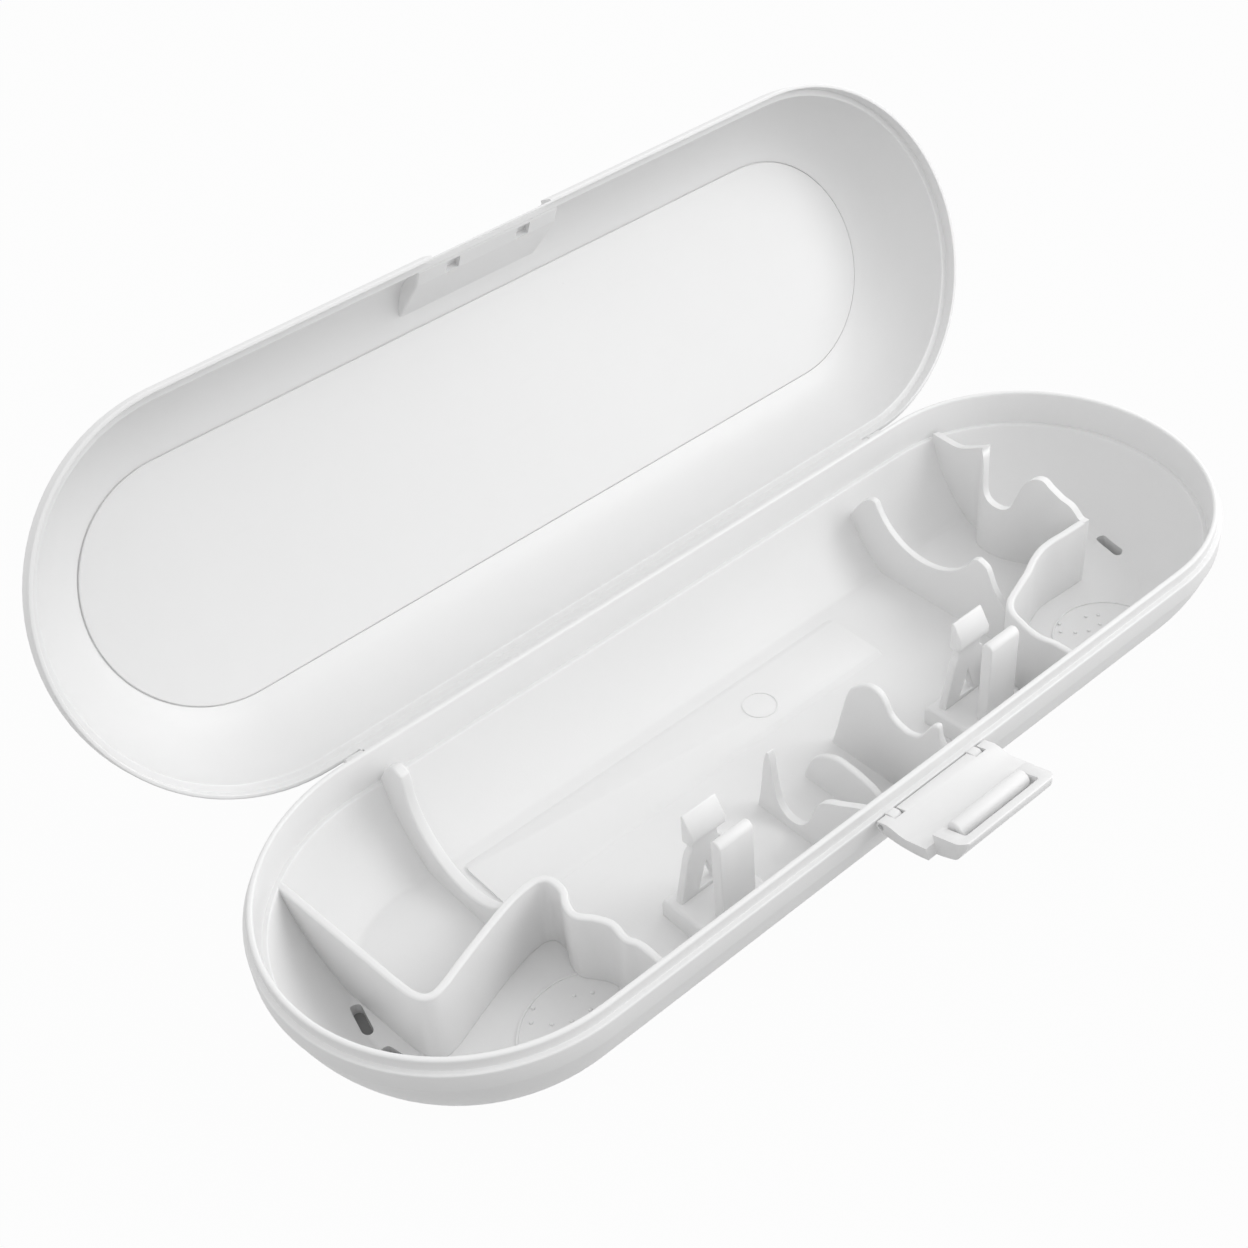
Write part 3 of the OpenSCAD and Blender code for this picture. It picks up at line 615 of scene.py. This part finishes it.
for name, x in (("left", -CLIP_X), ("right", CLIP_X)):
    half, foot = CLIP_W / 2, BLOCK_TOP
    block = bar("clip_block_" + name, front([
        (13.8, 2), (13.8, BLOCK_TOP - 1.2), (15, BLOCK_TOP), (38, BLOCK_TOP + 1.4), (38, 2)]),
        x - BLOCK_HALF, x + BLOCK_HALF)
    finished(trimmed(rounded_edges(block, 0.8, 4)), tray_plastic, "base",
             ["clip_base_" + name])
    rear = HEAD_S - CLIP_GAP / 2 - HOOK_THICK
    hook = facing("clip_hook_" + name, [
        (-half - 2.6, foot), (-half - 0.4, 17), (-half + 0.2, 18.8), (-half + 1, 19.6),
        (-half + 1, 22.4), (half - 1, 22.4), (half - 1, 19.6), (half - 0.2, 18.8),
        (half + 0.3, 17.4), (half + 1.5, foot)], rear, rear + HOOK_THICK, x)
    window = facing("window", [(-2, foot + 1.2), (-0.1, foot + 7.4), (1.7, foot + 1.2)],
                    rear - 1, rear + 4, x)
    combined(hook, "DIFFERENCE", window)
    beak = bar("beak", front([
        (rear, 21.6), (rear, CLIP_TOP), (rear + 0.6, CLIP_TOP + 0.2), (rear + 3, 24.6),
        (rear + 3, 22.9), (rear + HOOK_THICK, 21.6)]), x - half, x + half)
    combined(hook, "UNION", beak)
    finished(rounded_edges(hook, 0.3), tray_plastic, "base", ["clip_hook_" + name])
    near, round_top = HEAD_S + CLIP_GAP / 2, LEAF_THICK / 2
    leaf = bar("clip_leaf_" + name, front([
        (near, foot), *arc((near + round_top, CLIP_TOP - round_top), round_top, 180, 0, 12),
        (near + LEAF_THICK, foot)]), x - half, x + half)
    finished(rounded_edges(leaf, 0.35), tray_plastic, "base", ["clip_leaf_" + name])

# ---------------------------------------------------------------------------
# The cradles: two saddles and an arched rib between them that hold the brush
# heads' sockets. They are thin upright plates, moulded with the tray.
# ---------------------------------------------------------------------------
CRADLE_X, RIB_X = 11.3, 0.6

cross_plate("cradle_left_plate", -CRADLE_X, smooth_line([
    (-6.6, 2), (-7.6, 8), (-8.6, 16), (-9.6, 19.2), (-10.4, 17), (-11, 12.4), (-12.2, 7.6),
    (-14.2, 5.4), (-16.4, 5), (-18.6, 5.8), (-20.4, 8), (-21.6, 11.4), (-22.8, 14.4),
    (-25, 16.8), (-29, 19.2), (-33.4, 21.9), (-38, 24.4)]), "cradle_left")
cross_plate("cradle_right_plate", CRADLE_X, smooth_line([
    (-4.6, 2), (-6.6, 10), (-8.8, 18.8), (-11, 22), (-14.2, 24.2), (-17, 24.2), (-18.8, 22.4),
    (-20.2, 20.2), (-22.8, 19), (-25.4, 19), (-27.8, 20.4), (-30.4, 24.8), (-32, 25.4),
    (-33, 22), (-38, 18)]), "cradle_right")
cross_plate("cradle_rib_plate", RIB_X, smooth_line([
    (-7.4, 2), (-8.4, 6), (-10.8, 10.2), (-15.4, 13), (-19.4, 13.2), (-23.6, 12.6),
    (-27, 11.4), (-31, 8), (-34, 3)]), "cradle_rib")

# ---------------------------------------------------------------------------
# The pins: plain drawn steel wire with softened ends, pressed into the base's ears.
# The lid's barrel turns on two of them, and the latch on the third.
# ---------------------------------------------------------------------------
pin_metal, tree = new_material("drawn_wire")
place = Field.node(tree, "ShaderNodeTexCoord", output="Object")
drawn_out = Field.node(tree, "ShaderNodeVectorMath", {"operation": "MULTIPLY"},
                       {0: place, 1: (60, 4000, 4000)})
drawn = Field.node(tree, "ShaderNodeTexNoise", None,
                   {"Vector": drawn_out, "Scale": 1.0, "Detail": 3})
bump = Field.node(tree, "ShaderNodeBump", None,
                  {"Height": drawn, "Strength": 0.2, "Distance": 0.00002})
wire = Field.node(tree, "ShaderNodeBsdfPrincipled", None, {
    "Base Color": (0.66, 0.67, 0.68, 1), "Metallic": 1.0, "Roughness": 0.24 + 0.14 * drawn,
    "Normal": bump})
Field.node(tree, "ShaderNodeOutputMaterial", None, {"Surface": wire})
for node in ("hinge_pin_left", "hinge_pin_right", "latch_pin"):
    low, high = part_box(node)
    centre = ((low[1] + high[1]) / 2 / MM, (low[2] + high[2]) / 2 / MM)
    pin = bar(node + "_wire", ring(centre, (high[2] - low[2]) / 2 / MM), low[0] / MM, high[0] / MM)
    finished(rounded_edges(pin, 0.15, 2), pin_metal, "base", [node])

# ---------------------------------------------------------------------------
# The lid: one white moulding, made shut and then turned open about its hinge. It
# has its own rim band, a skirt that drops over the base's lip, a housing for the
# latch, and a barrel along its back.
# ---------------------------------------------------------------------------
LID_OPEN = 115.0
CEILING, CASE_TOP, LID_WALL = 44.9, 46.4, 1.3
BOW_S, SPRING, BOW_R = 19.5, 28.2, 17.7            # the centre and radius of its bowed wall
SKIRT_LOW, SKIRT_IN = SHOULDER + 0.25, LIP_OUT + 0.25
LID_BAND_TOP, LIP_ROOM = SKIRT_LOW + 3.8, LIP_TOP + 0.3
PANEL_R, PANEL_GAP = 24.87, 0.25
HOUSING_HALF, POCKET_HALF = 17.4, 16.2
CATCH_X, CATCH_HALF, WINDOW_HALF = 8.7, 1.4, 1.6
BORE_R, BORE_LONG = 1.05, 10
LATCH_LEAN = math.radians(17.3)                    # how far the shut latch leans inwards
LATCH_ROOT = Vector((BAND, SHOULDER + 0.2))


def along_latch(u, w):
    """A point u up the closed latch's inner face and w out of it, as (s, z)."""
    return (LATCH_ROOT.x - u * math.sin(LATCH_LEAN) + w * math.cos(LATCH_LEAN),
            LATCH_ROOT.y + u * math.cos(LATCH_LEAN) + w * math.sin(LATCH_LEAN))


def turned_about(made, y, z, degrees):
    """Turns a piece about a line along X through (y, z)."""
    axis = Vector((0, y, z)) * MM
    made.data.transform(Matrix.Translation(axis) @ Matrix.Rotation(math.radians(degrees), 4, "X")
                        @ Matrix.Translation(-axis))
    return made


outer_arc = arc((BOW_S, SPRING), BOW_R + LID_WALL, 4, 73.3, 20)
inner_arc = arc((BOW_S, SPRING), BOW_R, 70.6, 0, 18)
lid = carried_round("lid_moulding", softened([
    (BAND, SKIRT_LOW, 0.3), (BAND, LID_BAND_TOP, 0.35), (38.75, LID_BAND_TOP + 0.05, 0.12),
    *outer_arc[1:-2], (24.96, CASE_TOP, 14), (0, CASE_TOP), (0, CEILING + 0.3),
    (PANEL_R + PANEL_GAP, CEILING + 0.3), (PANEL_R + PANEL_GAP, CEILING, 0.1),
    *inner_arc[1:-1], (LIP_IN, LIP_ROOM, 0.3), (SKIRT_IN, LIP_ROOM, 0.15),
    (SKIRT_IN, SKIRT_LOW, 0.2)]))
housing = bar("housing", front(softened([
    (38.4, 28.4), (36.9, 28.4, 0.5), (34.4, 31.2, 1.2), (29.9, 40.4, 3), (27.6, 45.5),
    (38.4, 45.5)])), -HOUSING_HALF, HOUSING_HALF)
whole = carried_round("whole", [
    (0, SKIRT_LOW), (BAND - 0.05, SKIRT_LOW), (BAND - 0.05, LID_BAND_TOP), (38.6, LID_BAND_TOP),
    *((s - 0.1, z) for s, z in outer_arc[2:-1]), (25, CASE_TOP - 0.1), (0, CASE_TOP - 0.1)])
combined(rounded_edges(housing, 0.7, 4), "INTERSECT", whole)
barrel = bar("barrel", ring((HINGE_Y, HINGE_Z), BARREL_R, 48), -BARREL_HALF, BARREL_HALF)
web = bar("web", [
    (SKIRT_IN + 0.05, HINGE_Z + 0.2), (SKIRT_IN + 1.9, HINGE_Z + 0.2),
    (SKIRT_IN + 1.9, SKIRT_LOW + 1.0), (SKIRT_IN + 0.9, SKIRT_LOW + 2.2),
    (SKIRT_IN + 0.05, SKIRT_LOW + 2.0)], -BARREL_HALF, BARREL_HALF)
combined(lid, "UNION", housing, barrel, web)
pocket = bar("pocket", front(softened([
    (60, 30.3), (37, 30.3, 0.6), (31.9, 39.4, 1.0), (33.8, 40.6, 0.5), (60, 41.4)])),
    -POCKET_HALF, POCKET_HALF)
combined(lid, "DIFFERENCE", rounded_edges(pocket, 0.8))
for x in (-CATCH_X, CATCH_X):
    catch = bar("catch", front(softened([
        (33.6, 33.2), (36.2, 34.2, 0.3), (36.2, 35, 0.3), (33.2, 35.4)])),
        x - CATCH_HALF, x + CATCH_HALF)
    combined(lid, "UNION", catch)
    window = bar("window", front([(35.2, 27.3), (33, 29.7), (35.5, 31.9), (37.6, 29.6)]),
                 x - WINDOW_HALF, x + WINDOW_HALF)
    combined(lid, "DIFFERENCE", window)
latch_room = bar("latch_room", front([
    along_latch(-3, -0.3), along_latch(6, -0.3), along_latch(6, 9), along_latch(-3, 9)]),
    -LATCH_HALF - 0.3, LATCH_HALF + 0.3)
combined(lid, "DIFFERENCE", latch_room)
for end in (-1, 1):
    bore = bar("bore", ring((HINGE_Y, HINGE_Z), BORE_R),
               *sorted((end * (BARREL_HALF - BORE_LONG), end * (BARREL_HALF + 1))))
    combined(lid, "DIFFERENCE", bore)
finished(turned_about(lid, HINGE_Y, HINGE_Z, -LID_OPEN), shell_plastic, "lid",
         ["lid_shell"])

# ---------------------------------------------------------------------------
# The lid's panel: a thin separate plate of smoother plastic, let into the lid's
# ceiling with a fine dark joint all round it.
# ---------------------------------------------------------------------------
panel_plastic = moulded_plastic("white_panel_plastic", (0.80, 0.80, 0.80), 0.30, 0.25)
panel = carried_round("lid_panel_plate", softened([
    (0, CEILING - 0.3), (PANEL_R, CEILING - 0.3, 0.25), (PANEL_R, CEILING + 0.3),
    (0, CEILING + 0.3)]))
finished(turned_about(panel, HINGE_Y, HINGE_Z, -LID_OPEN), panel_plastic, "lid",
         ["lid_panel"])

# ---------------------------------------------------------------------------
# The latch: a curved plate of the shell's plastic on its own pin, made shut and
# turned down. Its inner side has a bead that snaps over the lid's catches, in a
# hollow with a raised frame round it.
# ---------------------------------------------------------------------------
LATCH_LONG, LATCH_TURN = 16.9, 89.3
GRIP_HALF, GRIP_ROOT, GRIP_END = 12.3, 9.5, 41.7
FRAME = 2.6
SLOT = 1.35                       # half the room that an ear of the base gets
BEAD_AT, BEAD_R, BEAD_HALF = (11.6, 0.7), 1.8, 9.1
PIN_BORE_R = 0.65

tip = Vector(along_latch(LATCH_LONG, 0))
outer_tip = tip + Vector((4.2, -1.2))
latch = bar("latch_moulding", front(softened([
    along_latch(-1.9, 0), (PIN_S + KNUCKLE_R, PIN_Z - 0.3),
    *bow((PIN_S + KNUCKLE_R, PIN_Z), outer_tip, 1.2)[1:-1], (outer_tip.x, outer_tip.y, 1.6),
    (tip.x + 0.8, tip.y + 0.1, 0.4), (tip.x, tip.y, 0.3)])), -LATCH_HALF, LATCH_HALF)
for side in (-1, 1):
    beside_grip = bar("beside_grip", front([
        along_latch(GRIP_ROOT, -3), along_latch(GRIP_ROOT, 9), along_latch(24, 9),
        along_latch(24, -3)]), *sorted((side * GRIP_HALF, side * (LATCH_HALF + 1))))
    combined(latch, "DIFFERENCE", beside_grip)
thinned = bar("thinned", front([along_latch(*p) for p in (
    (0.2, -2), (0.4, 0), (1.6, 0.4), (3, 1.1), (4.6, 1.6), (9.6, 1.8), (9.6, -2))]), -20, 20)
hollow = bar("hollow", front([along_latch(*p) for p in (
    (9, -2), (9, 1.8), (14.7, 2), (15.3, -2))]), FRAME - GRIP_HALF, GRIP_HALF - FRAME)
combined(latch, "DIFFERENCE", thinned, rounded_edges(hollow, 0.5))
front_view = facing("front_view", softened([
    (-LATCH_HALF, 18), (LATCH_HALF, 18), (LATCH_HALF, 36.6), (GRIP_HALF, 36.7),
    (GRIP_HALF, GRIP_END, 2.2), (-GRIP_HALF, GRIP_END, 2.2), (-GRIP_HALF, 36.7),
    (-LATCH_HALF, 36.6)], 8), 30, 50, 0)
combined(latch, "INTERSECT", front_view)
rounded_edges(latch, 0.35)
combined(latch, "UNION", bar("knuckle", front(ring((PIN_S, PIN_Z), KNUCKLE_R)),
                             -LATCH_HALF, LATCH_HALF))
for x in (-LATCH_EAR, LATCH_EAR):
    slot = bar("slot", front([
        (PIN_S - 4, PIN_Z - 4), (PIN_S + SLOT, PIN_Z - 4), (PIN_S + SLOT, PIN_Z + SLOT),
        (PIN_S - 4, PIN_Z + SLOT)]), x - SLOT, x + SLOT)
    combined(latch, "DIFFERENCE", slot)
bead = bar("bead", front(ring(along_latch(*BEAD_AT), BEAD_R, 40)), -BEAD_HALF, BEAD_HALF)
combined(latch, "UNION", rounded_edges(bead, 0.4))
combined(latch, "DIFFERENCE", bar("bore", front(ring((PIN_S, PIN_Z), PIN_BORE_R)), -15, 15))
finished(turned_about(latch, -PIN_S, PIN_Z, LATCH_TURN), shell_plastic, "latch",
         ["latch"])
